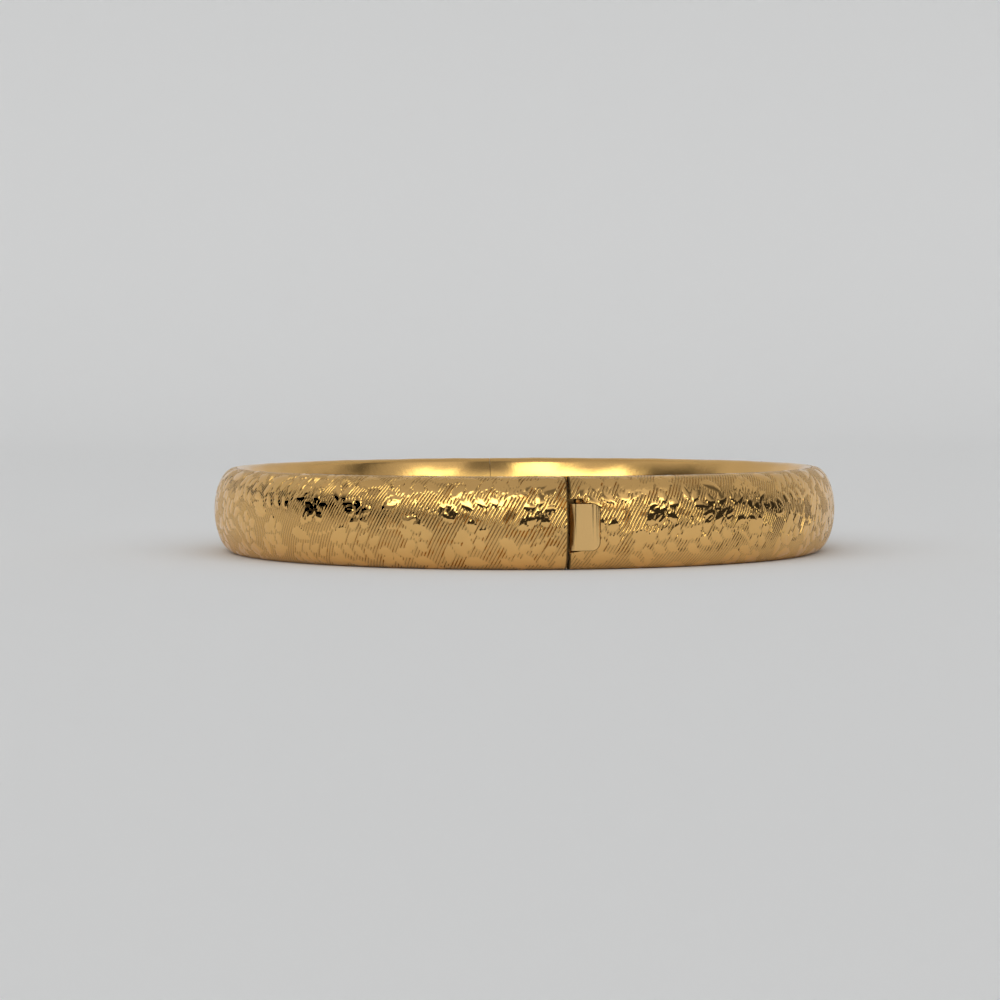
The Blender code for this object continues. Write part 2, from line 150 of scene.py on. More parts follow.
def gold_finish(name, tint=1.0, roughness=0.2, wear=0.06, grain=0.006, stretch=(1, 1, 1),
                grain_scale=2600.0, colour=GOLD):
    """A gold material; the grain is the height of its tool marks in millimetres."""
    material = bpy.data.materials.new(name)
    material.use_nodes = True
    tree = material.node_tree
    shader = tree.nodes["Principled BSDF"]
    shader.inputs["Metallic"].default_value = 1.0
    where = add_node(tree, "ShaderNodeTexCoord").outputs["Object"]
    drift = add_node(tree, "ShaderNodeTexNoise",
                     {"Vector": where, "Scale": DRIFT_SCALE, "Detail": 3.0}).outputs["Fac"]
    shade = [c * tint for c in colour]
    tone = add_node(tree, "ShaderNodeMix", {"Factor": ramp(tree, drift, 0.3, 0.7)},
                    data_type="RGBA")
    set_mix_colours(tone, [c * DARKER_PATCHES for c in shade], shade)
    tree.links.new(tone.outputs["Result"], shader.inputs["Base Color"])
    rubbed = add_node(tree, "ShaderNodeTexNoise",
                      {"Vector": where, "Scale": WEAR_SCALE, "Detail": 4.0}).outputs["Fac"]
    rough = calc(tree, "MULTIPLY_ADD", rubbed, wear, roughness - wear / 2)
    tree.links.new(rough, shader.inputs["Roughness"])
    stretched = add_node(tree, "ShaderNodeMapping", {"Vector": where, "Scale": stretch})
    marks = add_node(tree, "ShaderNodeTexNoise", {
        "Vector": stretched.outputs[0], "Scale": grain_scale, "Detail": 2.0}).outputs["Fac"]
    bump = add_node(tree, "ShaderNodeBump", {
        "Height": marks, "Distance": grain * MM, "Strength": 1.0})
    tree.links.new(bump.outputs[0], shader.inputs["Normal"])
    return material


liner_gold = gold_finish("liner_gold", tint=0.97, roughness=0.17, wear=0.07, grain=0.007,
                         grain_scale=1500.0)
# The tab's paler colour is a painted highlight
tab_gold = gold_finish("tab_gold", roughness=0.22, wear=0.05, grain=0.012, stretch=(6, 6, 0.2),
                       colour=PAINTED_LIT_GOLD)
# Darkened to a third: painted shade in the gap between the halves and in the notch
plate_gold = gold_finish("plate_gold", tint=0.3, roughness=0.34, wear=0.08)
hinge_gold = gold_finish("hinge_gold", tint=0.9, roughness=0.24, wear=0.08)
spring_gold = gold_finish("spring_gold", tint=0.95, roughness=0.25, grain=0.012,
                          stretch=(0.3, 6, 6))
print("finishes:", [m.name for m in (liner_gold, tab_gold, plate_gold, hinge_gold, spring_gold)])

# %% [markdown]
# ### The engraved finish
# The engraved finish also knows where the graver went. The mesh carries an attribute, 1 on the
# polished motifs and 0 on the hatched ground, and the ground is a little rougher, with fine burrs
# between the cuts, and darker, as painted shade among the cuts. Two more attributes add painted
# shade: they darken the bottoms of the cuts, and the inside and ends of the sheet, whose inside is
# also unpolished and rougher.

# %% The engraved finish
# The darker ground, the darker cuts and the darker inside and ends are painted shade
GROUND_ROUGHER = 0.14
GROUND_PAINTED_SHADE = 0.9
CUT_PAINTED_SHADE = 0.36
INSIDE_ROUGHER = 0.4
INSIDE_PAINTED_SHADE = 0.75
engraved_gold = gold_finish("engraved_gold", roughness=0.075, wear=0.04, grain=0.004,
                            grain_scale=3200.0)
tree = engraved_gold.node_tree
shader = tree.nodes["Principled BSDF"]
polish = add_node(tree, "ShaderNodeAttribute", attribute_name="polish").outputs["Fac"]
bright = shader.inputs["Roughness"].links[0].from_socket
burred = calc(tree, "ADD", bright, ramp(tree, polish, 0.9, 0.1, 0.0, GROUND_ROUGHER))
inside = add_node(tree, "ShaderNodeAttribute", attribute_name="inside").outputs["Fac"]
tree.links.new(calc(tree, "MULTIPLY_ADD", inside, INSIDE_ROUGHER, burred),
               shader.inputs["Roughness"])
# Painted shade: the colour is darkened in the cuts, on the hatched ground and on the inside and
# ends of the sheet
cut = add_node(tree, "ShaderNodeAttribute", attribute_name="cut").outputs["Fac"]
ground = ramp(tree, polish, 0.9, 0.1, 1.0, GROUND_PAINTED_SHADE)
painted_shade = calc(tree, "MULTIPLY",
             calc(tree, "MULTIPLY", calc(tree, "MULTIPLY_ADD", cut, -CUT_PAINTED_SHADE, 1.0), ground),
             calc(tree, "MULTIPLY_ADD", inside, -INSIDE_PAINTED_SHADE, 1.0))
bare = shader.inputs["Base Color"].links[0].from_socket
shaded_colour = add_node(tree, "ShaderNodeVectorMath", {0: bare}, operation="SCALE")
tree.links.new(painted_shade, shaded_colour.inputs["Scale"])
tree.links.new(shaded_colour.outputs[0], shader.inputs["Base Color"])
print("engraved finish:", len(tree.nodes), "nodes")

# %% [markdown]
# ## The oval and its section
# Every sheet follows the same oval. A point is given by a turn, in radians anticlockwise from the
# clasp, a depth outwards from the inner face, and a height. The oval's own length is tabulated
# once, so that a flat strip can be bent round it without stretching.

# %% The oval
def oval(turn):
    """The inner face and its outward direction."""
    x, y = INNER_HALF_WIDTH * np.sin(turn), -INNER_HALF_LENGTH * np.cos(turn)
    out_x, out_y = x / INNER_HALF_WIDTH ** 2, y / INNER_HALF_LENGTH ** 2
    size = np.hypot(out_x, out_y)
    return x, y, out_x / size, out_y / size


def place(turn, depth, height):
    """Points from turns, depths and heights above the middle of the band."""
    x, y, out_x, out_y = oval(turn)
    return np.stack([x + out_x * depth, y + out_y * depth,
                     MID_HEIGHT + height + 0.0 * turn], -1)


def half_turns(side, clasp_wear=0.0, hinge_wear=0.0):
    """The first and last turn of a half, anticlockwise; a negative wear makes it longer."""
    clasp, hinge = (float(np.arcsin((PARTING + wear) / INNER_HALF_WIDTH))
                    for wear in (clasp_wear, hinge_wear))
    return (clasp, pi - hinge) if side == "right" else (pi + hinge, 2 * pi - clasp)


TURNS = np.linspace(0, 2 * pi, 4001)
crest = place(TURNS, THICKNESS, 0.0)
LENGTHS = np.concatenate([[0.0], np.cumsum(np.linalg.norm(np.diff(crest, axis=0), axis=1))])
print("round the crest: %.1f mm" % (LENGTHS[-1] / MM))

# %% [markdown]
# ## The two outlines
# Cut across, a half is a domed outline on a shallow channel. The dome is half an ellipse, and the
# channel is a flat arc between two round corners. A curve with a bevel object could sweep them,
# but it gives no place to lay an engraved sheet. So each outline is a list of points in depth and
# height, and a small class measures along it and gives its outward normals.

# %% The section
class Profile:
    """An outline in depth and height, with the distance along it and its normals."""

    def __init__(self, points):
        self.points = np.array(points)
        steps = np.linalg.norm(np.diff(self.points, axis=0), axis=1)
        self.along = np.concatenate([[0.0], np.cumsum(steps)])
        slope = np.gradient(self.points, self.along, axis=0)
        slope /= np.linalg.norm(slope, axis=1)[:, None]
        self.normals = np.stack([slope[:, 1], -slope[:, 0]], -1)
        self.length = self.along[-1]

    def at(self, distance):
        """Depth, height and outward normal at distances along the outline."""
        return [np.interp(distance, self.along, column)
                for column in (*self.points.T, *self.normals.T)]


LINER_ARC = 10.8 * MM              # the liner's face is slightly rounded, for comfort
LINER_CORNER = 0.6 * MM
LINER_EDGE = 1.3 * MM
DOME_FOOT = 1.5 * MM               # depth at which the dome starts to curve
DOME_RISE = THICKNESS - DOME_FOOT
half_height = BAND_HEIGHT / 2
angles = np.linspace(-pi / 2, pi / 2, 241)
dome_points = [(DOME_FOOT + DOME_RISE * cos(a), half_height * sin(a)) for a in angles]
dome = Profile([(LINER_EDGE + SEAM, -half_height), *dome_points,
                (LINER_EDGE + SEAM, half_height)])
corner_height = half_height - LINER_CORNER
lean = asin(corner_height / (LINER_ARC - LINER_CORNER))
corner_depth = LINER_ARC - (LINER_ARC - LINER_CORNER) * cos(lean)
arc = [(LINER_ARC * (1 - cos(a)), LINER_ARC * sin(a)) for a in np.linspace(-lean, lean, 61)]
corner = [(corner_depth - LINER_CORNER * cos(a), corner_height + LINER_CORNER * sin(a))
          for a in np.linspace(lean, pi / 2, 13)]
foot = [(depth, -height) for depth, height in reversed(corner)]
liner = Profile([(LINER_EDGE, -half_height), *foot[:-1], *arc, *corner[1:],
                 (LINER_EDGE, half_height)])
print("dome outline %.2f mm, liner outline %.2f mm" % (dome.length / MM, liner.length / MM))

# %% [markdown]
# ## The engraver's patterns
# The engraver works on flat sheet. Each motif is a few small flat outlines, in millimetres: a
# pointed leaf, a flower of round petals, a sprig of three leaves, a spray of nine, a row of beads
# and a thin stem. They are only stamps. The strip below reads where they fall, and they are
# deleted afterwards.

# %% Motif outlines
def flat_stamp(name, outlines):
    """An object of flat faces, one for each closed outline."""
    stamp = bmesh.new()
    for outline in outlines:
        stamp.faces.new([stamp.verts.new((x, y, 0.0)) for x, y in outline])
    mesh = bpy.data.meshes.new(name)
    stamp.to_mesh(mesh)
    stamp.free()
    obj = bpy.data.objects.new(name, mesh)
    bpy.context.scene.collection.objects.link(obj)
    return obj


def turned(points, turn):
    """Points turned about the origin."""
    return [(x * cos(turn) - y * sin(turn), x * sin(turn) + y * cos(turn)) for x, y in points]


def shifted(points, by):
    """Points moved in their plane."""
    return [(x + by[0], y + by[1]) for x, y in points]


def leaf_outline(length, width, turn=0.0, start=0.0, curl=0.25, steps=10):
    """A pointed leaf that leaves the origin in the direction of turn."""
    along = np.linspace(0.0, 1.0, steps + 1)
    upper = [(start + length * t, width / 2 * sin(pi * t ** 0.8) + curl * sin(pi * t))
             for t in along]
    lower = [(start + length * t, -width / 2 * sin(pi * t ** 0.8) + curl * sin(pi * t))
             for t in along[1:-1]]
    return turned(upper[::-1] + lower, turn)


def round_outline(radius, centre=(0.0, 0.0), squash=1.0, turn=0.0, steps=14):
    """A circle or an oval, whose centre is turned with it."""
    points = [(centre[0] + radius * cos(2 * pi * i / steps),
               centre[1] + radius * squash * sin(2 * pi * i / steps)) for i in range(steps)]
    return turned(points, turn)


PETALS = 5
flower = flat_stamp("flower", [round_outline(0.56, (0.98, 0.0), 0.8, 2 * pi * k / PETALS + 0.3)
                               for k in range(PETALS)] + [round_outline(0.27)])
leaf = flat_stamp("leaf", [leaf_outline(2.5, 1.15, curl=0.2)])
sprig = flat_stamp("sprig", [leaf_outline(1.8, 0.8, turn, 0.3, 0.1)
                             for turn in (-0.95, 0.0, 0.95)])
spray_leaves = [shifted(leaf_outline(1.55, 0.78, side * 0.85, 0.12, side * 0.08),
                        (1.15 * k + 0.25 * side, 0.1 * k * (4 - k)))
                for k in range(4) for side in (-1, 1)]
spray = flat_stamp("spray", spray_leaves + [shifted(leaf_outline(1.7, 0.8), (4.6, 0.0))])
beads = flat_stamp("beads", [round_outline(0.17, (0.52 * k, 0.05 * k * k), steps=8)
                             for k in range(-3, 4)])
stem = flat_stamp("stem", [leaf_outline(4.2, 0.26, curl=0.75)])
stamps = [flower, leaf, sprig, spray, beads, stem]
print("motifs:", {stamp.name: len(stamp.data.polygons) for stamp in stamps})

# %% [markdown]
# ## The engraved strip
# The shell follows a rule: a flat strip, hatched with slanting cuts except where a motif is left
# polished. Geometry Nodes is made for that. The tree scatters the motifs, measures how far every
# point of a fine grid is from them, and moves the point down where the graver cut and slightly up
# where the polished metal is pillowed. The grid is spaced so that its diagonals run exactly along
# the cuts, four columns to a cut, which keeps every groove crisp with few faces.

# %% Sizes of the engraving, in millimetres
HATCH_PITCH = 0.33
HATCH_SLANT = radians(62)
COLUMNS_PER_CUT = 4
CUT_DEPTH = 0.065
PILLOW = 0.018                     # how much polished metal is rounded over
PILLOW_WIDTH = 0.45
RIM_WIDTH = 0.11                   # the outline's own cut, in from a motif's edge
RIM_DEPTH = 1.2                    # in pillows
TOUCHING = 0.0005                  # a point this near a motif is on it
REPEATS = 9                        # of the pattern, along one half
MOTIF_SIZE = 1.08
HAND = 0.35                        # how far a motif strays, in millimetres and in radians
ACROSS_HAND = 0.6                  # the shares of that for its height and its size
SIZE_HAND = 0.3
PRESSURE = (0.55, 1.25)            # the lightest and the heaviest cut, as shares of the depth
PATTERN = (
    # stamp, share of a repeat, height, turn, size, mirrored below the middle
    ("spray", 0.02, 1.9, -0.12, 1.0, True),
    ("spray", 0.50, -2.9, 0.10, 0.95, True),
    ("flower", 0.27, -0.9, 0.4, 1.0, False),
    ("flower", 0.78, 1.2, 0.0, 0.95, False),
    ("sprig", 0.55, 2.4, 1.3, 1.0, True),
    ("sprig", 0.04, -1.6, -0.9, 1.0, True),
    ("sprig", 0.93, 3.7, 2.4, 1.0, True),
    ("sprig", 0.42, 4.5, 0.2, 0.9, True),
    ("leaf", 0.62, -0.3, 0.62, 1.0, True),
    ("leaf", 0.72, 3.4, 0.3, 0.9, True),
    ("leaf", 0.12, 0.3, 2.5, 0.95, True),
    ("leaf", 0.47, -1.2, -0.5, 0.9, True),
    ("sprig", 0.70, -4.3, 2.8, 0.9, True),
    ("leaf", 0.17, -3.6, 0.35, 1.0, True),
    ("leaf", 0.30, 3.9, 2.9, 0.9, True),
    ("leaf", 0.86, -4.4, 0.1, 1.0, True),
    ("stem", 0.40, 0.7, 0.5, 1.0, True),
    ("beads", 0.90, -1.0, 0.35, 1.0, True),
    ("beads", 0.12, -4.5, 0.1, 1.0, True))
print("%d motifs in a repeat, %d repeats to a half" % (len(PATTERN), REPEATS))

# %% [markdown]
# ### One motif, many copies
# An engraver repeats a motif by eye, so no two are quite alike. Copies could be placed by a loop
# in Python, but instances on a line of points keep the whole pattern in one tree. Each copy is in
# step with the repeats, and a random value moves, turns and sizes it a little.

# %% Lay one motif along the strip
def scatter(tree, stamp, count, first, spacing, lift, turn, size, flip, seed):
    """Copies of a stamp along the strip, above and below the middle line by turns."""
    points = add_node(tree, "GeometryNodeMeshLine", {
        "Count": count,
        "Start Location": add_node(tree, "ShaderNodeCombineXYZ", {"X": first}).outputs[0],
        "Offset": add_node(tree, "ShaderNodeCombineXYZ", {"X": spacing}).outputs[0]})
    index = add_node(tree, "GeometryNodeInputIndex").outputs[0]
    side = calc(tree, "MULTIPLY_ADD", calc(tree, "MODULO", index, 2.0), -2.0, 1.0)
    jitter = add_node(tree, "FunctionNodeRandomValue",
                      {"Min": -HAND, "Max": HAND, "Seed": seed}, data_type="FLOAT")
    shift = next(s for s in jitter.outputs if s.type == "VALUE" and s.enabled)
    y = calc(tree, "MULTIPLY_ADD", side, lift, calc(tree, "MULTIPLY", shift, ACROSS_HAND))
    offset = add_node(tree, "ShaderNodeCombineXYZ", {"X": shift, "Y": y})
    moved = add_node(tree, "GeometryNodeSetPosition",
                     {"Geometry": points.outputs[0], "Offset": offset.outputs[0]})
    spin = calc(tree, "MULTIPLY_ADD", side, turn if flip else 0.0,
                calc(tree, "ADD", 0.0 if flip else turn, shift))
    rotation = add_node(tree, "ShaderNodeCombineXYZ", {"Z": spin})
    scale = calc(tree, "MULTIPLY_ADD", shift, SIZE_HAND, size)
    shape = add_node(tree, "GeometryNodeObjectInfo", {"Object": stamp})
    copies = add_node(tree, "GeometryNodeInstanceOnPoints", {
        "Points": moved.outputs[0], "Instance": shape.outputs["Geometry"],
        "Rotation": rotation.outputs[0], "Scale": scale})
    return copies.outputs[0]


# %% [markdown]
# ### The whole tree
# The tree joins the motifs, compares every point of the grid with them, and stores what it found
# as attributes before it moves any point. Its inputs have names, so that one tree makes both
# halves at their own sizes.

# %% The engraving's node tree
def engraving_tree():
    """The engraved strip as a node tree with named inputs."""
    tree = bpy.data.node_groups.new("engraved_strip", "GeometryNodeTree")
    face = tree.interface
    face.new_socket("Geometry", in_out="INPUT", socket_type="NodeSocketGeometry")
    for name, kind in (("Length", "Float"), ("Height", "Float"), ("Cut Depth", "Float"),
                       ("Pillow", "Float"), ("Columns", "Int"), ("Rows", "Int"),
                       ("Repeats", "Int"), ("Seed", "Int"), ("Finish", "Material")):
        face.new_socket(name, in_out="INPUT", socket_type="NodeSocket" + kind)
    for stamp in stamps:
        face.new_socket(stamp.name, in_out="INPUT", socket_type="NodeSocketObject")
    face.new_socket("Geometry", in_out="OUTPUT", socket_type="NodeSocketGeometry")
    given = add_node(tree, "NodeGroupInput").outputs

    # The flat sheet
    sheet = add_node(tree, "GeometryNodeMeshGrid", {
        "Size X": given["Length"], "Size Y": given["Height"],
        "Vertices X": given["Columns"], "Vertices Y": given["Rows"]})

    # The motifs, repeated along it
    spacing = calc(tree, "DIVIDE", given["Length"], given["Repeats"])
    start = calc(tree, "MULTIPLY", given["Length"], -0.5)
    seed = given["Seed"]
    motifs = []
    for part, (stamp, share, lift, turn, size, flip) in enumerate(PATTERN):
        first = calc(tree, "MULTIPLY_ADD", spacing, share, start)
        motifs.append(scatter(tree, given[stamp], given["Repeats"], first, spacing, lift, turn,
                              MOTIF_SIZE * size, flip, calc(tree, "ADD", seed, float(part))))
    joined = add_node(tree, "GeometryNodeJoinGeometry")
    for copies in motifs:
        tree.links.new(copies, joined.inputs[0])
    stamped = add_node(tree, "GeometryNodeRealizeInstances", {0: joined.outputs[0]}).outputs[0]

    # How far each point is from a motif, and from its outline
    def distance_to(element):
        near = add_node(tree, "GeometryNodeProximity", {0: stamped}, target_element=element)
        return near.outputs["Distance"]

    outline = distance_to("EDGES")
    outside = distance_to("FACES")
    polished = calc(tree, "LESS_THAN", outside, TOUCHING)

    # The cuts: one diagonal of the grid in every four is the bottom of a cut
    index = add_node(tree, "GeometryNodeInputIndex").outputs[0]
    column = calc(tree, "FLOOR", calc(tree, "DIVIDE", calc(tree, "ADD", index, 0.5),
                                      given["Rows"]))
    row = calc(tree, "SUBTRACT", index, calc(tree, "MULTIPLY", column, given["Rows"]))
    diagonal = calc(tree, "FLOORED_MODULO", calc(tree, "SUBTRACT", column, row),
                    float(COLUMNS_PER_CUT))
    at_bottom = calc(tree, "LESS_THAN", diagonal, 0.5)
    hand = add_node(tree, "ShaderNodeTexNoise", {"Scale": 0.9, "Detail": 2.0}).outputs["Fac"]
    depth = calc(tree, "MULTIPLY", given["Cut Depth"], ramp(tree, hand, 0.25, 0.75, *PRESSURE))
    hatch = calc(tree, "MULTIPLY", calc(tree, "MULTIPLY", at_bottom, depth), -1.0)

    # Polished metal is rounded over towards its outline, which is cut a little deeper
    pillow = calc(tree, "MULTIPLY", given["Pillow"], ramp(tree, outline, 0.0, PILLOW_WIDTH))
    rim = calc(tree, "MULTIPLY", given["Pillow"],
               ramp(tree, outline, RIM_WIDTH, 0.0, 0.0, -RIM_DEPTH))
    height = calc(tree, "ADD", rim, calc(
        tree, "ADD", calc(tree, "MULTIPLY", polished, pillow),
        calc(tree, "MULTIPLY", calc(tree, "SUBTRACT", 1.0, polished), hatch)))

    # Both marks are stored while the sheet is still flat, since distances change once it isn't
    marked = sheet.outputs["Mesh"]
    for name, mark in (("polish", polished), ("cut", calc(
            tree, "MULTIPLY", at_bottom, calc(tree, "SUBTRACT", 1.0, polished)))):
        stored = add_node(tree, "GeometryNodeStoreNamedAttribute", {
            "Geometry": marked, "Name": name}, data_type="FLOAT", domain="POINT")
        tree.links.new(mark, next(s for s in stored.inputs if s.name == "Value" and s.enabled))
        marked = stored.outputs[0]
    raised = add_node(tree, "GeometryNodeSetPosition", {
        "Geometry": marked,
        "Offset": add_node(tree, "ShaderNodeCombineXYZ", {"Z": height}).outputs[0]})
    plain = add_node(tree, "GeometryNodeRealizeInstances", {0: raised.outputs[0]})
    covered = add_node(tree, "GeometryNodeSetMaterial",
                       {"Geometry": plain.outputs[0], "Material": given["Finish"]})
    add_node(tree, "NodeGroupOutput", {0: covered.outputs[0]})
    return tree


engraving = engraving_tree()
print("engraving tree: %d nodes" % len(engraving.nodes))

# %% [markdown]
# ### One strip
# This is the sheet as it leaves the engraver's block. The tree could stay live as a modifier, but
# the strip has to be bent next, and an array of points is easier to bend. So the tree runs on an
# empty mesh, with its inputs set before Blender first evaluates it, and we keep the points and
# the marks of the grid that comes back.

# %% Engrave one flat strip
def engrave(length, height, seed):
    """The flat engraved strip: its grid size, its relief and its polish, point by point."""
    columns = COLUMNS_PER_CUT * round(length / HATCH_PITCH) + 1
    step = length / (columns - 1)
    rows = round(height / (step * tan(HATCH_SLANT))) + 1
    blank = bpy.data.objects.new("strip", bpy.data.meshes.new("strip"))
    bpy.context.scene.collection.objects.link(blank)
    nodes = blank.modifiers.new("engraving", "NODES")
    nodes.node_group = engraving
    sizes = {"Length": length, "Height": height, "Cut Depth": CUT_DEPTH, "Pillow": PILLOW,
             "Columns": columns, "Rows": rows, "Repeats": REPEATS, "Seed": seed,
             "Finish": engraved_gold, **{stamp.name: stamp for stamp in stamps}}
    for item in engraving.interface.items_tree:
        if item.in_out == "INPUT" and item.name in sizes:
            nodes[item.identifier] = sizes[item.name]
    bpy.context.view_layer.update()
    graph = bpy.context.evaluated_depsgraph_get()
    mesh = bpy.data.meshes.new_from_object(blank.evaluated_get(graph))
    points = np.empty(len(mesh.vertices) * 3)
    mesh.vertices.foreach_get("co", points)
    marks = {}
    for name in ("polish", "cut"):
        marks[name] = np.empty(len(mesh.vertices))
        mesh.attributes[name].data.foreach_get("value", marks[name])
    bpy.data.objects.remove(blank)
    bpy.data.meshes.remove(mesh)
    return points.reshape(columns, rows, 3), marks


# %% [markdown]
# ## Bending the strip
# As in the workshop, the engraved strip is then domed and bent round the oval. Each flat point has
# a length along the crest, a length across the dome and a relief height, and those become a turn, a
# place on the section and a distance along its normal. The back of the sheet needs no engraving,
# so it is a coarse grid, and many-sided faces close the rim between the fine front and the back.

# %% Bend and close the shell
BACK_STEP = 6                      # front columns or rows to one on the back


def bend(profile, along, across, lift):
    """Bend flat lengths, in metres, round the oval and across a profile."""
    turn = np.interp(along, LENGTHS, TURNS)
    depth, height, out_depth, out_height = profile.at(across)
    return place(turn, depth + lift * out_depth, height + lift * out_height)


def every(count, step):
    """Every step-th number below count, and the last one."""
    return list(range(0, count - 1, step)) + [count - 1]


def shell_faces(columns, rows, back_columns, back_rows):
    """Faces of a closed sheet: fine front triangles, a coarse back, and the rim between."""
    def front(i, j):
        return i * rows + j

    def back(a, b):
        return columns * rows + a * len(back_rows) + b

    faces = []
    for i in range(columns - 1):
        for j in range(rows - 1):
            faces.append((front(i, j), front(i + 1, j), front(i + 1, j + 1)))
            faces.append((front(i, j), front(i + 1, j + 1), front(i, j + 1)))
    wide, tall = len(back_columns) - 1, len(back_rows) - 1
    for a in range(wide):
        for b in range(tall):
            faces.append((back(a, b), back(a, b + 1), back(a + 1, b + 1), back(a + 1, b)))
        span = range(back_columns[a], back_columns[a + 1] + 1)
        faces.append((back(a, 0), back(a + 1, 0), *[front(i, 0) for i in reversed(span)]))
        faces.append((*[front(i, rows - 1) for i in span], back(a + 1, tall), back(a, tall)))
    for b in range(tall):
        span = range(back_rows[b], back_rows[b + 1] + 1)
        faces.append((back(0, b), *[front(0, j) for j in span], back(0, b + 1)))
        faces.append((back(wide, b + 1), *[front(columns - 1, j) for j in reversed(span)],
                      back(wide, b)))
    return faces


# %% [markdown]
# ### From points to pieces
# Every sheet ends as a mesh object, and several are then cut, thickened or bevelled. Those steps
# could stay on the modifier stack, but each cutter would then have to stay in the scene. So each
# modifier is evaluated at once, and its result kept.

# %% Make, smooth and cut meshes
def new_piece(name, vertices, faces, material):
    """A mesh object at the origin with one material."""
    mesh = bpy.data.meshes.new(name)
    mesh.from_pydata([tuple(v) for v in vertices], [], faces)
    mesh.materials.append(material)
    mesh.update()
    obj = bpy.data.objects.new(name, mesh)
    bpy.context.scene.collection.objects.link(obj)
    return obj


def smooth(obj, angle=35):
    """Shade smooth, but for edges sharper than an angle in degrees."""
    obj.data.shade_smooth()
    obj.data.set_sharp_from_angle(angle=radians(angle))


def settle(obj):
    """Replace an object's modifiers by what they make."""
    graph = bpy.context.evaluated_depsgraph_get()
    mesh = bpy.data.meshes.new_from_object(obj.evaluated_get(graph))
    obj.modifiers.clear()
    obj.data = mesh
    return obj


def cut_away(obj, cutter, solver="MANIFOLD", operation="DIFFERENCE"):
    """Combine two closed meshes, by default cutting the second from the first."""
    boolean = obj.modifiers.new("cut", "BOOLEAN")
    boolean.operation = operation
    boolean.solver = solver
    boolean.object = cutter
    return settle(obj)


# %% [markdown]
# ### One half's shell
# The front of the shell is the engraved strip, and its back is a coarse grid one sheet further in.
# The ends of a real half are rolled in and dull from wear. That could be modelled finely, but it
# is too small to see as a shape. So the outermost column goes in a little, and the outermost two
# carry the rougher finish of the inside and its painted shade, which darkens the parting line.

# %% One engraved shell
EDGE_SOFTENING = 0.05 * MM         # how far the ends roll in
EDGE_WEAR = 0.03 * MM              # how far they are worn back at the clasp
# Columns darkened with painted shade along the parting line
PAINTED_SHADE_COLUMNS = 2                  # of the front, at each end of a half


def engraved_shell(side, seed):
    """One half's outer shell."""
    first, last = half_turns(side, EDGE_WEAR)
    start, end = np.interp([first, last], TURNS, LENGTHS)
    points, marks = engrave((end - start) / MM, dome.length / MM, seed)
    columns, rows = points.shape[:2]
    along = start + (points[..., 0] - points[0, 0, 0]) * MM
    across = (points[..., 1] - points[0, 0, 1]) * MM
    lift = points[..., 2] * MM
    lift[[0, -1], :] = -EDGE_SOFTENING
    front = bend(dome, along, across, lift).reshape(-1, 3)
    back_columns, back_rows = every(columns, BACK_STEP), every(rows, BACK_STEP)
    picked = np.ix_(back_columns, back_rows)
    back = bend(dome, along[picked], across[picked], -SHEET).reshape(-1, 3)
    faces = shell_faces(columns, rows, back_columns, back_rows)
    shell = new_piece("outer_shell_%s_skin" % side, np.concatenate([front, back]), faces,
                      engraved_gold)
    # The end columns, like the back, get the painted shade of the inside
    end_shade = np.zeros((columns, rows))
    end_shade[:PAINTED_SHADE_COLUMNS] = end_shade[-PAINTED_SHADE_COLUMNS:] = 1.0
    marks["inside"] = end_shade.ravel()
    for name, value_behind in (("polish", 1.0), ("cut", 0.0), ("inside", 1.0)):
        layer = shell.data.attributes.new(name, "FLOAT", "POINT")
        layer.data.foreach_set("value", np.append(marks[name], np.full(len(back), value_behind)))
    print("%s shell: %d x %d grid, %.0f%% polished" % (
        side, columns, rows, 100 * marks["polish"].mean()))
    return shell


# %% [markdown]
# ## The notch and the hinge pocket
# The right shell is cut out for the thumb tab, with a little more room above and below it beside
# the parting line for a nail. Both shells are cut out for the knuckles. The grid could leave the
# openings out, but its steps would show along the round corners. A closed prism of the right
# outline cuts them cleanly.

# %% Prisms and round ends
def prism(name, outline, low, high, across="Y"):
    """A flat outline in X and Z, or X and Y, given thickness along the other axis."""
    shape = bmesh.new()
    rings = [[shape.verts.new((u, level, v) if across == "Y" else (u, v, level))
              for u, v in outline] for level in (low, high)]
    count = len(outline)
    for i in range(count):
        j = (i + 1) % count
        shape.faces.new((rings[0][i], rings[0][j], rings[1][j], rings[1][i]))
    shape.faces.new(rings[0][::-1])
    shape.faces.new(rings[1])
    bmesh.ops.recalc_face_normals(shape, faces=shape.faces)
    mesh = bpy.data.meshes.new(name)
    shape.to_mesh(mesh)
    shape.free()
    obj = bpy.data.objects.new(name, mesh)
    bpy.context.scene.collection.objects.link(obj)
    return obj


def round_end(right, middle, half, radius, steps=10):
    """The right-hand end of a rectangle in X and Z, with round corners, from bottom to top."""
    points = []
    for sign, first in ((-1, -pi / 2), (1, 0.0)):
        for step in range(steps + 1):
            angle = first + pi / 2 * step / steps
            points.append((right - radius + radius * cos(angle),
                           middle + sign * (half - radius) + radius * sin(angle)))
    return points


# %% [markdown]
# ### The cutters
# The sizes come from the frame's own tab, knuckles and pin. They could be copied as numbers, but
# read from the frame the cuts can't drift away from what they clear.

# %% Cutters for the notch and the hinge pocket
tab_low, tab_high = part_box("thumb_tab")
TAB_HALF = (tab_high.z - tab_low.z) / 2
TAB_MIDDLE = (tab_high.z + tab_low.z) / 2
TAB_ROOM = 0.04 * MM
TAB_CORNER = 0.7 * MM
NAIL_ROOM = 0.45 * MM              # the notch is taller beside the parting line, for a nail
NAIL_ROOM_END = 1.15 * MM
NAIL_SLOPE = 0.3 * MM
POCKET_ROOM = 0.15 * MM
NAIL_BELOW = 0.4 * NAIL_ROOM       # there is less room below the tab
BEYOND = 2.0 * MM                  # how far a cutter sticks out
OUTSIDE = cad_box[0].y - BEYOND
notch_top = TAB_MIDDLE + TAB_HALF + 2 * TAB_ROOM
notch_bottom = TAB_MIDDLE - TAB_HALF - TAB_ROOM
nail_top = TAB_MIDDLE + TAB_HALF + NAIL_ROOM
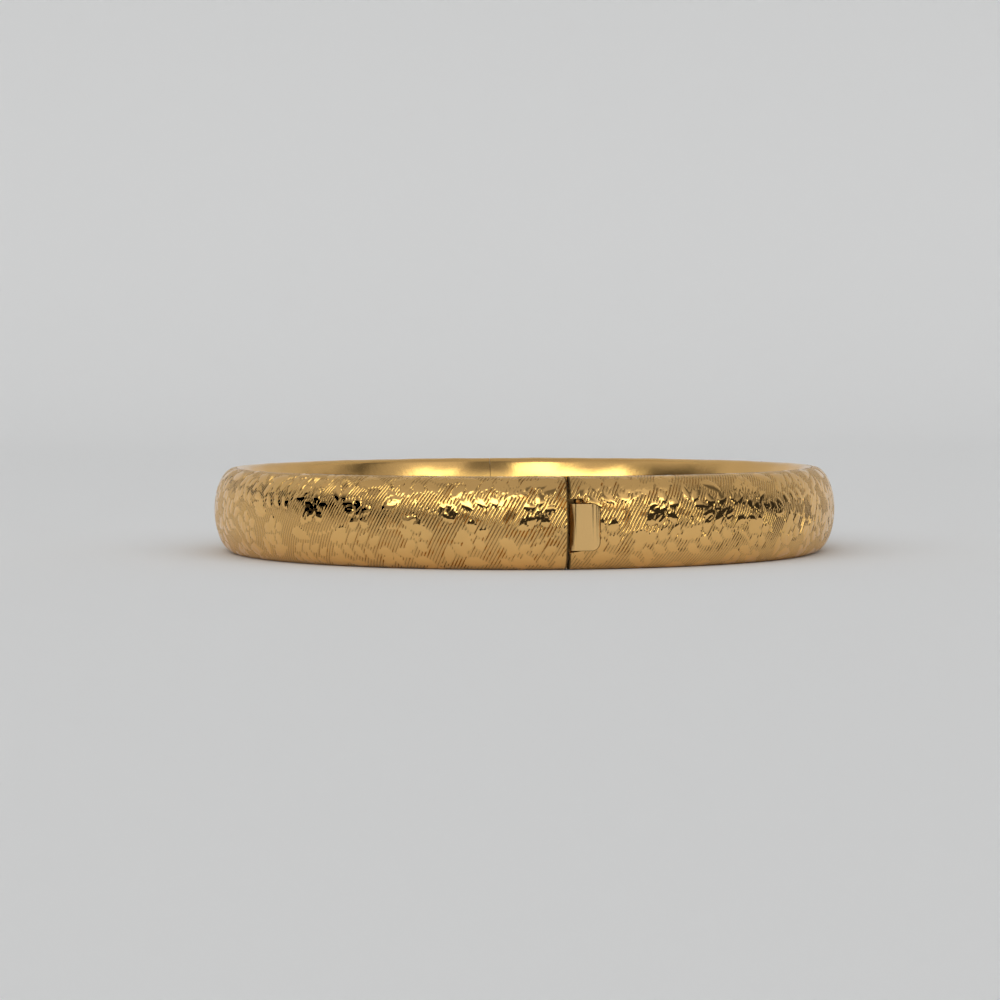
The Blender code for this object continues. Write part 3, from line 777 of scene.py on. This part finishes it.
notch = prism("notch_cutter", [
    *round_end(tab_high.x + TAB_ROOM, TAB_MIDDLE, TAB_HALF + TAB_ROOM, TAB_CORNER),
    (tab_high.x - TAB_CORNER, notch_top), (NAIL_ROOM_END + NAIL_SLOPE, notch_top),
    (NAIL_ROOM_END, nail_top), (-BEYOND, nail_top),
    (-BEYOND, notch_bottom - 1.25 * NAIL_BELOW), (0.0, notch_bottom - NAIL_BELOW),
    (NAIL_ROOM_END, notch_bottom)], OUTSIDE, -INNER_HALF_LENGTH - DOME_FOOT)
POCKET_HALF_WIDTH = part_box("hinge_knuckle_1")[1].x + POCKET_ROOM
POCKET_HALF_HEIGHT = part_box("hinge_pin")[1].z - MID_HEIGHT + POCKET_ROOM
pocket = prism("pocket_cutter", [
    (sx * POCKET_HALF_WIDTH, MID_HEIGHT + sz * POCKET_HALF_HEIGHT)
    for sx, sz in ((-1, -1), (1, -1), (1, 1), (-1, 1))],
    INNER_HALF_LENGTH + DOME_FOOT, cad_box[1].y + BEYOND)
print("notch: %.2f mm high, pocket: %.2f x %.2f mm" % (
    (nail_top - notch_bottom) / MM, 2 * POCKET_HALF_WIDTH / MM, 2 * POCKET_HALF_HEIGHT / MM))

# %% [markdown]
# ## The two shells
# The shells are the outside of the bangle, and each half has its own seed, so the pattern isn't
# the same on both. The pattern could have been laid round the openings, but cutting the finished
# sheet, as a saw would, is simpler and lets motifs run off the edges. The Boolean needs closed
# meshes, which is why the shells got their backs and rims first.

# %% Make both shells
SEEDS = {"right": 3, "left": 11}
for side, seed in SEEDS.items():
    shell = cut_away(engraved_shell(side, seed), pocket)
    if side == "right":
        shell = cut_away(shell, notch)
    smooth(shell, 40)
    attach(shell, side + "_half")
    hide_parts("outer_shell_" + side)
    print(shell.name, len(shell.data.polygons), "faces")
for stamp in stamps + [notch, pocket]:
    bpy.data.objects.remove(stamp)

# %% [markdown]
# ## Liners
# The liner is a shallow channel of plain polished sheet. It is the same bend with no engraving,
# only a few waves that a pressed sheet keeps, and Solidify gives the sheet its thickness.

# %% Make both liners
LINER_COLUMNS = 220
LINER_ROWS = 60
DENT = 0.017 * MM                  # how unevenly the sheet was pressed
DENT_LENGTH = 2.1 * MM
LINER_REACH = 0.035 * MM           # the liners all but meet at both ends


def grid_faces(columns, rows):
    """Quads of a grid of points, facing the wrist."""
    return [(i * rows + j + 1, (i + 1) * rows + j + 1, (i + 1) * rows + j, i * rows + j)
            for i in range(columns - 1) for j in range(rows - 1)]


for side in ("right", "left"):
    first, last = half_turns(side, -LINER_REACH, -LINER_REACH)
    start, end = np.interp([first, last], TURNS, LENGTHS)
    along, across = np.meshgrid(np.linspace(start, end, LINER_COLUMNS),
                                np.linspace(0, liner.length, LINER_ROWS), indexing="ij")
    # Two crossed waves, whose lengths don't fall in step
    dents = DENT * (np.sin(along / DENT_LENGTH + 1.0) * np.sin(across / (0.4 * DENT_LENGTH) + 0.6)
                    + 0.6 * np.sin(along / (0.37 * DENT_LENGTH) + across / (0.5 * DENT_LENGTH)))
    piece = new_piece("inner_liner_%s_sheet" % side,
                      bend(liner, along, across, dents - DENT).reshape(-1, 3),
                      grid_faces(LINER_COLUMNS, LINER_ROWS), liner_gold)
    solidify = piece.modifiers.new("sheet", "SOLIDIFY")
    solidify.thickness = SHEET
    solidify.offset = -1.0
    solidify.use_even_offset = True
    settle(piece)
    smooth(piece)
    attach(piece, side + "_half")
    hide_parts("inner_liner_" + side)
    print(piece.name, len(piece.data.polygons), "faces")

# %% [markdown]
# ## The thumb tab
# The tab is filed from plate: its face is a shallow cylinder that rolls in at the parting line, and
# its far corners are round. We make that form from two prisms, one seen from the front and one
# from above, and keep what they share. A small bevel catches the light along its edges, and a
# neck joins it to the sprung leaf below. Weighted normals keep its flat face evenly lit.

# %% Make the tab
tab_face = -tab_low.y
TAB_BACK = INNER_HALF_LENGTH + 2.75 * MM       # its far side, over the catch plate
TAB_CHAMFER = 0.38 * MM            # along the parting line, and slightly deeper than wide
TAB_ROUND = 26 * MM                # radius of the face
TAB_LEAN = tan(radians(3.2))       # the face leans with the dome below the middle
TAB_EDGE = 0.09 * MM               # width of the bevel
NECK_START, NECK_END = 1.0 * MM, 2.2 * MM
NECK_HALF_WIDTH = 0.8 * MM
NECK_FOOT = 2.15 * MM
front_form = prism("tab_front", [
    *round_end(tab_high.x, TAB_MIDDLE, TAB_HALF, TAB_CORNER),
    (tab_low.x, tab_high.z), (tab_low.x, tab_low.z)],
    -tab_face - BEYOND, -TAB_BACK + SEAM)
face_start = tab_low.x + TAB_CHAMFER
fall = [(x, -(tab_face - (x - face_start) ** 2 / (2 * TAB_ROUND)))
        for x in np.linspace(face_start, tab_high.x + BEYOND, 24)]
plan = [(tab_low.x, -TAB_BACK), (tab_low.x, -tab_face + 1.1 * TAB_CHAMFER), *fall,
        (tab_high.x + BEYOND, -TAB_BACK)]
plan_form = prism("tab_plan", plan, tab_low.z - BEYOND, tab_high.z + BEYOND, across="Z")
tab = cut_away(front_form, plan_form, "EXACT", "INTERSECT")
bpy.data.objects.remove(plan_form)
tab.name = "thumb_tab_filed"
bevel = tab.modifiers.new("edges", "BEVEL")
bevel.width = TAB_EDGE
bevel.segments = 2
bevel.limit_method = "ANGLE"
bevel.angle_limit = radians(30)
settle(tab)
neck = prism("tab_neck", [
    (x, MID_HEIGHT + sz * NECK_HALF_WIDTH)
    for x, sz in ((NECK_START, -1), (NECK_END, -1), (NECK_END, 1), (NECK_START, 1))],
    -TAB_BACK - 2 * SEAM, -INNER_HALF_LENGTH - NECK_FOOT)
cut_away(tab, neck, "EXACT", "UNION")
bpy.data.objects.remove(neck)
for vertex in tab.data.vertices:
    # The face leans and the back stays where it is
    share = min(max((-vertex.co.y - TAB_BACK) / (tab_face - TAB_BACK), 0.0), 1.0)
    vertex.co.y += (tab_high.z - vertex.co.z) * TAB_LEAN * share
tab.data.materials.clear()
tab.data.materials.append(tab_gold)
smooth(tab, 25)
weighted = tab.modifiers.new("flat faces stay flat", "WEIGHTED_NORMAL")
weighted.keep_sharp = True
settle(tab)
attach(tab, "thumb_latch")
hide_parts("thumb_tab")
print("tab: %d faces, face %.2f x %.2f mm" % (
    len(tab.data.polygons), (tab_high.x - tab_low.x) / MM, 2 * TAB_HALF / MM))

# %% [markdown]
# ## The rest of the clasp and the hinge
# The end plates, the receiver channel, the tongue and the knuckles are small and plain, and their
# shapes are already right in the frame, so they only need their finishes.

# %% Finish the frame's own nodes
# plate_gold is the darkened finish that paints the shade in the gap and the notch
for slot_name, material in (("plate_gold", plate_gold), ("hinge_gold", hinge_gold),
                            ("spring_gold", spring_gold)):
    for entry in frame["record"]["subparts"]:
        if entry["material_slot"] == slot_name:
            node = frame["nodes"][entry["node"]]
            node.data.materials.clear()
            node.data.materials.append(material)
print("carried over:", sorted(n for n, o in frame["nodes"].items() if not o.hide_render))

# %% [markdown]
# ## The studio
# The bangle lies on a pale sweep of paper that curves up behind it. A plane would do for the
# shadow, but its far edge would show as a line, and the gold would mirror it.

# %% The paper sweep
SWEEP_RADIUS = 0.35
SWEEP_START = 0.45
SWEEP_HALF_WIDTH = 2.5
SWEEP_FRONT = -2.5
SWEEP_TOP = 1.8
PAPER_COLOUR = (0.80, 0.805, 0.805)
sweep_line = [(SWEEP_FRONT, 0.0), (SWEEP_START, 0.0)]
sweep_line += [(SWEEP_START + SWEEP_RADIUS * sin(a), SWEEP_RADIUS * (1 - cos(a)))
               for a in np.linspace(0, pi / 2, 25)[1:]]
sweep_line += [(SWEEP_START + SWEEP_RADIUS, SWEEP_TOP)]
paper = bpy.data.materials.new("paper")
paper.use_nodes = True
paper_shader = paper.node_tree.nodes["Principled BSDF"]
paper_shader.inputs["Base Color"].default_value = (*PAPER_COLOUR, 1.0)
paper_shader.inputs["Roughness"].default_value = 0.9
paper_shader.inputs["Specular IOR Level"].default_value = 0.1
sweep = new_piece("paper_sweep", [(sx * SWEEP_HALF_WIDTH, y, z) for y, z in sweep_line
                                  for sx in (-1, 1)],
                  [(2 * i, 2 * i + 1, 2 * i + 3, 2 * i + 2) for i in range(len(sweep_line) - 1)],
                  paper)
smooth(sweep)
print("sweep: %.1f m wide, %.1f m high" % (2 * SWEEP_HALF_WIDTH, SWEEP_TOP))

# %% [markdown]
# ## The light of the room
# Polished gold shows its surroundings, so the light is what gives the dome its bands: a wide window
# above and behind the viewer, a dark side of the room below it, and pale walls. Area lamps could
# do it, but the gold would mirror each of them as a rectangle. A world whose strength depends on
# the direction is easier to shape, with a soft patch for each band.

# %% Directions and strengths
WALLS_LOW, WALLS_HIGH = 0.49, 0.44             # below 35 degrees up, and above 60
DARK_SIDE = 0.46                   # what the room lacks below the window
WINDOW_FOOT = (17.5, 14.0)         # elevations between which the dark begins
FRONT_LEFT, FRONT_RIGHT = (-130.0, -100.0), (125.0, 95.0)      # and how far round it reaches
LAMPS = 0.86                       # extra light on the paper, which nothing mirrors
WINDOW_ON_PAPER = (1.0, 1.0, 1.0)
WINDOW_ON_GOLD = (1.0, 1.04, 0.78)
PLAIN_BACK = (0.64, 0.65, 0.66)
# Patches: left, right, low and high in degrees, softness in degrees, strength
SHADES = ((-104.0, -68.0, 12.0, 26.0, 6.0, -0.40),
          (-76.0, -50.0, 0.0, 20.0, 6.0, 0.24),
          (-6.0, 22.0, 30.0, 54.0, 6.0, -0.30),
          (26.0, 52.0, 25.0, 45.0, 6.0, 0.20),
          (70.0, 86.0, 18.0, 46.0, 6.0, -0.38))
WINDOW = ((-64.0, -30.0, 18.5, 27.0, 5.0, 2.9),
          (-30.0, -8.0, 18.5, 38.0, 5.0, 2.9),
          (27.0, 49.0, 18.5, 25.5, 5.0, 3.0),
          (-9.0, 28.0, 19.5, 23.0, 5.0, 1.0))
print("light: %d shades, %d parts of a window" % (len(SHADES), len(WINDOW)))

# %% [markdown]
# ### The world
# The shader turns the direction of each ray into degrees and adds up the patches. It could read
# them from a painted picture, but numbers are easy to change and need no file. Rays from the
# lens, from the paper and from the gold are told apart, because a lamp may light the paper
# without being seen in the gold.

# %% The world's shader
def total(tree, values):
    """The sum of several sockets."""
    result = values[0]
    for value in values[1:]:
        result = calc(tree, "ADD", result, value)
    return result


def room_light():
    """A world whose brightness depends on the direction."""
    world = bpy.data.worlds.new("studio")
    bpy.context.scene.world = world
    world.use_nodes = True
    tree = world.node_tree
    background = tree.nodes["Background"]
    direction = add_node(tree, "ShaderNodeTexCoord").outputs["Generated"]
    split = add_node(tree, "ShaderNodeSeparateXYZ", {0: direction}).outputs
    elevation = calc(tree, "MULTIPLY", calc(tree, "ARCSINE", split["Z"]), 180 / pi)
    # Degrees to the right of straight towards the viewer
    bearing = calc(tree, "MULTIPLY",
                   calc(tree, "ARCTAN2", split["X"], calc(tree, "MULTIPLY", split["Y"], -1.0)),
                   180 / pi)

    def patch(left, right, low, high, soft, strength):
        """A soft-edged rectangle of light."""
        sides = calc(tree, "MULTIPLY", ramp(tree, bearing, left - soft, left + soft),
                     ramp(tree, bearing, right + soft, right - soft))
        ends = calc(tree, "MULTIPLY", ramp(tree, elevation, low - soft / 3, low + soft / 3),
                    ramp(tree, elevation, high + soft, high - soft))
        return calc(tree, "MULTIPLY", calc(tree, "MULTIPLY", sides, ends), strength)

    front = calc(tree, "MULTIPLY", ramp(tree, bearing, *FRONT_LEFT),
                 ramp(tree, bearing, *FRONT_RIGHT))
    dark = calc(tree, "MULTIPLY", front, ramp(tree, elevation, *WINDOW_FOOT))
    walls = calc(tree, "MULTIPLY_ADD", dark, -DARK_SIDE,
                 ramp(tree, elevation, 35.0, 60.0, WALLS_LOW, WALLS_HIGH))
    level = total(tree, [walls] + [patch(*shade) for shade in SHADES])
    # The paper is lit more than the walls are seen, as it is by lamps that nothing mirrors
    ray = add_node(tree, "ShaderNodeLightPath").outputs
    lamps = calc(tree, "MULTIPLY_ADD", ray["Is Diffuse Ray"], LAMPS, 1.0)
    tree.links.new(calc(tree, "MULTIPLY", level, lamps), background.inputs["Strength"])
    background.inputs["Color"].default_value = (1.0, 1.0, 1.0, 1.0)
    # The window, taller to the left, is warmer in its reflections than on the paper
    warmth = add_node(tree, "ShaderNodeMix", {"Factor": ray["Is Glossy Ray"]}, data_type="RGBA")
    set_mix_colours(warmth, WINDOW_ON_PAPER, WINDOW_ON_GOLD)
    window = add_node(tree, "ShaderNodeBackground", {
        "Color": warmth.outputs["Result"],
        "Strength": total(tree, [patch(*part) for part in WINDOW])})
    lit = add_node(tree, "ShaderNodeAddShader", {0: background.outputs[0], 1: window.outputs[0]})
    # What the lens sees directly, past the paper, is plain
    plain = add_node(tree, "ShaderNodeBackground", {"Color": (*PLAIN_BACK, 1.0)})
    mixed = add_node(tree, "ShaderNodeMixShader", {
        0: ray["Is Camera Ray"], 1: lit.outputs[0], 2: plain.outputs[0]})
    tree.links.new(mixed.outputs[0], tree.nodes["World Output"].inputs["Surface"])
    print("world: %d nodes" % len(tree.nodes))


room_light()

# %% [markdown]
# ## The camera
# The lens is long and low, close to the table, and looks slightly down at the bangle from just to
# the left of the clasp. A constraint could aim it, but three small angles also set how far off the
# middle the bangle sits.

# %% Camera
CAMERA_LENS = 98.5
CAMERA_DISTANCE = 0.2715
CAMERA_AZIMUTH = radians(-6.97)
CAMERA_HEIGHT = 0.0162
CAMERA_TURN = radians(0.489)       # turned left of straight at the bangle
CAMERA_DIP = radians(2.394)
CAMERA_ROLL = radians(-0.17)
camera = bpy.data.objects.new("camera", bpy.data.cameras.new("camera"))
bpy.context.scene.collection.objects.link(camera)
camera.data.lens = CAMERA_LENS
camera.data.clip_start = 0.01
camera.location = (CAMERA_DISTANCE * sin(CAMERA_AZIMUTH),
                   -CAMERA_DISTANCE * cos(CAMERA_AZIMUTH), CAMERA_HEIGHT)
heading = CAMERA_AZIMUTH + CAMERA_TURN
looking = Vector((-sin(heading) * cos(CAMERA_DIP), cos(heading) * cos(CAMERA_DIP),
                  -sin(CAMERA_DIP)))
camera.rotation_mode = "QUATERNION"
camera.rotation_quaternion = (Matrix.Rotation(-CAMERA_ROLL, 3, looking)
                              @ looking.to_track_quat("-Z", "Y").to_matrix()).to_quaternion()
bpy.context.scene.camera = camera
bpy.context.scene.view_settings.view_transform = "Standard"
print("camera: %.1f mm lens, %.0f mm away" % (CAMERA_LENS, CAMERA_DISTANCE / MM))
